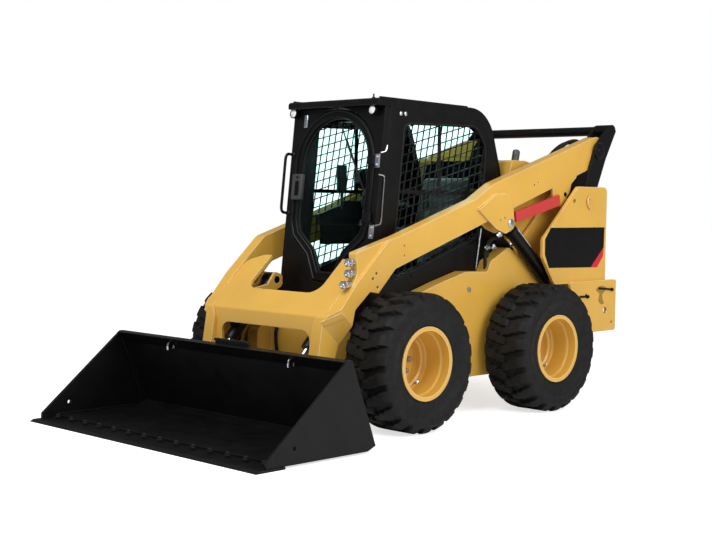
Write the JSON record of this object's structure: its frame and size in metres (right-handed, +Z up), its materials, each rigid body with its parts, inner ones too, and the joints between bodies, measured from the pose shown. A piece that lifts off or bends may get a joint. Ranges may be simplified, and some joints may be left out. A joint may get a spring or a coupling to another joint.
{
  "type": "skid steer loader",
  "caption": "Skid steer loader with vertical-lift arms, closed cab with screened windows, lugged tyres and a wide dirt bucket on a quick coupler.",
  "frame": {"origin": "on the ground under the middle of the machine's outer box", "axes": "+X forward to the bucket, +Y to the machine's left, +Z up"},
  "size_m": [3.9691, 2.2, 2.1047],
  "materials": {
    "yellow_paint": "satin machine yellow",
    "black_paint": "satin black",
    "tyre_rubber": "dull rubber",
    "glass": "clear, faint green",
    "red_paint": "gloss red",
    "steel": "bright plated steel",
    "dark_steel": "dark cast metal",
    "seat_vinyl": "black vinyl",
    "grey_plastic": "dark grey moulded plastic"
  },
  "bodies": {
    "frame": {"main_frame": "yellow_paint", "tower_left": "yellow_paint", "tower_right": "yellow_paint", "rear_bumper": "yellow_paint", "lift_pins": "steel", "axle_front": "dark_steel", "axle_rear": "dark_steel", "engine_block": "dark_steel", "hood_sides": "yellow_paint", "exhaust_stub": "dark_steel", "rear_hinges": "black_paint", "cab_floor": "black_paint", "cab_left_wall": "black_paint", "cab_right_wall": "black_paint", "cab_roof": "black_paint", "cab_rear_wall": "black_paint", "cab_front_frame": "black_paint", "side_glass": "glass", "side_screens": "black_paint", "rear_glass": "glass", "seat": "seat_vinyl", "consoles": "grey_plastic", "head_lamps": "steel", "grab_handle": "black_paint"},
    "hood": {"hood_lid": "black_paint"},
    "engine_door": {"rear_door": "yellow_paint"},
    "cab_door": {"door_frame": "black_paint", "door_glass": "glass", "door_wiper": "black_paint"},
    "wheel_front_left": {"tyre_front_left": "tyre_rubber", "rim_front_left": "yellow_paint"},
    "wheel_front_right": {"tyre_front_right": "tyre_rubber", "rim_front_right": "yellow_paint"},
    "wheel_rear_left": {"tyre_rear_left": "tyre_rubber", "rim_rear_left": "yellow_paint"},
    "wheel_rear_right": {"tyre_rear_right": "tyre_rubber", "rim_rear_right": "yellow_paint"},
    "links": {"rear_links": "black_paint"},
    "arms": {"arm_left": "yellow_paint", "arm_right": "yellow_paint", "arm_crossmember": "yellow_paint", "arm_brace": "red_paint", "hydraulic_couplers": "steel"},
    "lift_barrel": {"lift_barrels": "black_paint"},
    "lift_rod": {"lift_rods": "steel"},
    "tilt_barrel": {"tilt_barrels": "black_paint"},
    "tilt_rod": {"tilt_rods": "steel"},
    "tool": {"coupler": "black_paint", "bucket_shell": "black_paint", "cutting_edge": "black_paint"}
  },
  "joints": [
    {"name": "wheel_front_left_spin", "type": "hinge", "parent": "frame", "child": "wheel_front_left", "pos_m": [0.4085, 0.75, 0.44], "axis": [0, 1, 0], "continuous": true},
    {"name": "wheel_front_right_spin", "type": "hinge", "parent": "frame", "child": "wheel_front_right", "pos_m": [0.4085, -0.75, 0.44], "axis": [0, 1, 0], "continuous": true},
    {"name": "wheel_rear_left_spin", "type": "hinge", "parent": "frame", "child": "wheel_rear_left", "pos_m": [-0.9535, 0.75, 0.44], "axis": [0, 1, 0], "continuous": true},
    {"name": "wheel_rear_right_spin", "type": "hinge", "parent": "frame", "child": "wheel_rear_right", "pos_m": [-0.9535, -0.75, 0.44], "axis": [0, 1, 0], "continuous": true},
    {"name": "link_swing", "type": "hinge", "parent": "frame", "child": "links", "pos_m": [-1.4975, 0, 1.18], "axis": [0, -1, 0], "range_deg": [-0.5, 8.5]},
    {"name": "arm_lift", "type": "hinge", "parent": "links", "child": "arms", "pos_m": [-1.7675, 0, 1.834], "axis": [0, -1, 0], "range_deg": [0, 50]},
    {"name": "lift_barrel_swing", "type": "hinge", "parent": "frame", "child": "lift_barrel", "pos_m": [-1.5425, 0, 0.636], "axis": [0, -1, 0], "range_deg": [-0.5, 29.5]},
    {"name": "lift_rod_slide", "type": "slide", "parent": "lift_barrel", "child": "lift_rod", "axis": [0.774, 0, 0.6331], "range_m": [-0.01, 0.8834]},
    {"name": "bucket_tilt", "type": "hinge", "parent": "arms", "child": "tool", "pos_m": [0.9895, 0, 0.215], "axis": [0, 1, 0], "range_deg": [-25, 105]},
    {"name": "tilt_barrel_swing", "type": "hinge", "parent": "arms", "child": "tilt_barrel", "pos_m": [0.5775, 0, 0.905], "axis": [0, 1, 0], "range_deg": [-1.47, 4.55]},
    {"name": "tilt_rod_slide", "type": "slide", "parent": "tilt_barrel", "child": "tilt_rod", "axis": [0.6751, 0, -0.7377], "range_m": [-0.0723, 0.2717]},
    {"name": "cab_door_swing", "type": "hinge", "parent": "frame", "child": "cab_door", "pos_m": [0.39753, 0.375, 1.40231], "axis": [-0.1045, 0, 0.9945], "range_deg": [0, 78]},
    {"name": "engine_door_swing", "type": "hinge", "parent": "frame", "child": "engine_door", "pos_m": [-1.9045, 0.418, 1], "axis": [0, 0, -1], "range_deg": [0, 100]},
    {"name": "hood_lift", "type": "hinge", "parent": "frame", "child": "hood", "pos_m": [-0.9665, 0, 1.73], "axis": [0, 1, 0], "range_deg": [0, 40]}
  ],
  "couplings": [
    {"joint": "link_swing", "follows": "arm_lift", "ratio": 0.16},
    {"joint": "lift_barrel_swing", "follows": "arm_lift", "ratio": 0.58},
    {"joint": "lift_rod_slide", "follows": "arm_lift", "m_per_rad": 1.0008},
    {"joint": "tilt_barrel_swing", "follows": "bucket_tilt", "ratio": 0.0386},
    {"joint": "tilt_rod_slide", "follows": "bucket_tilt", "m_per_rad": 0.1428}
  ]
}
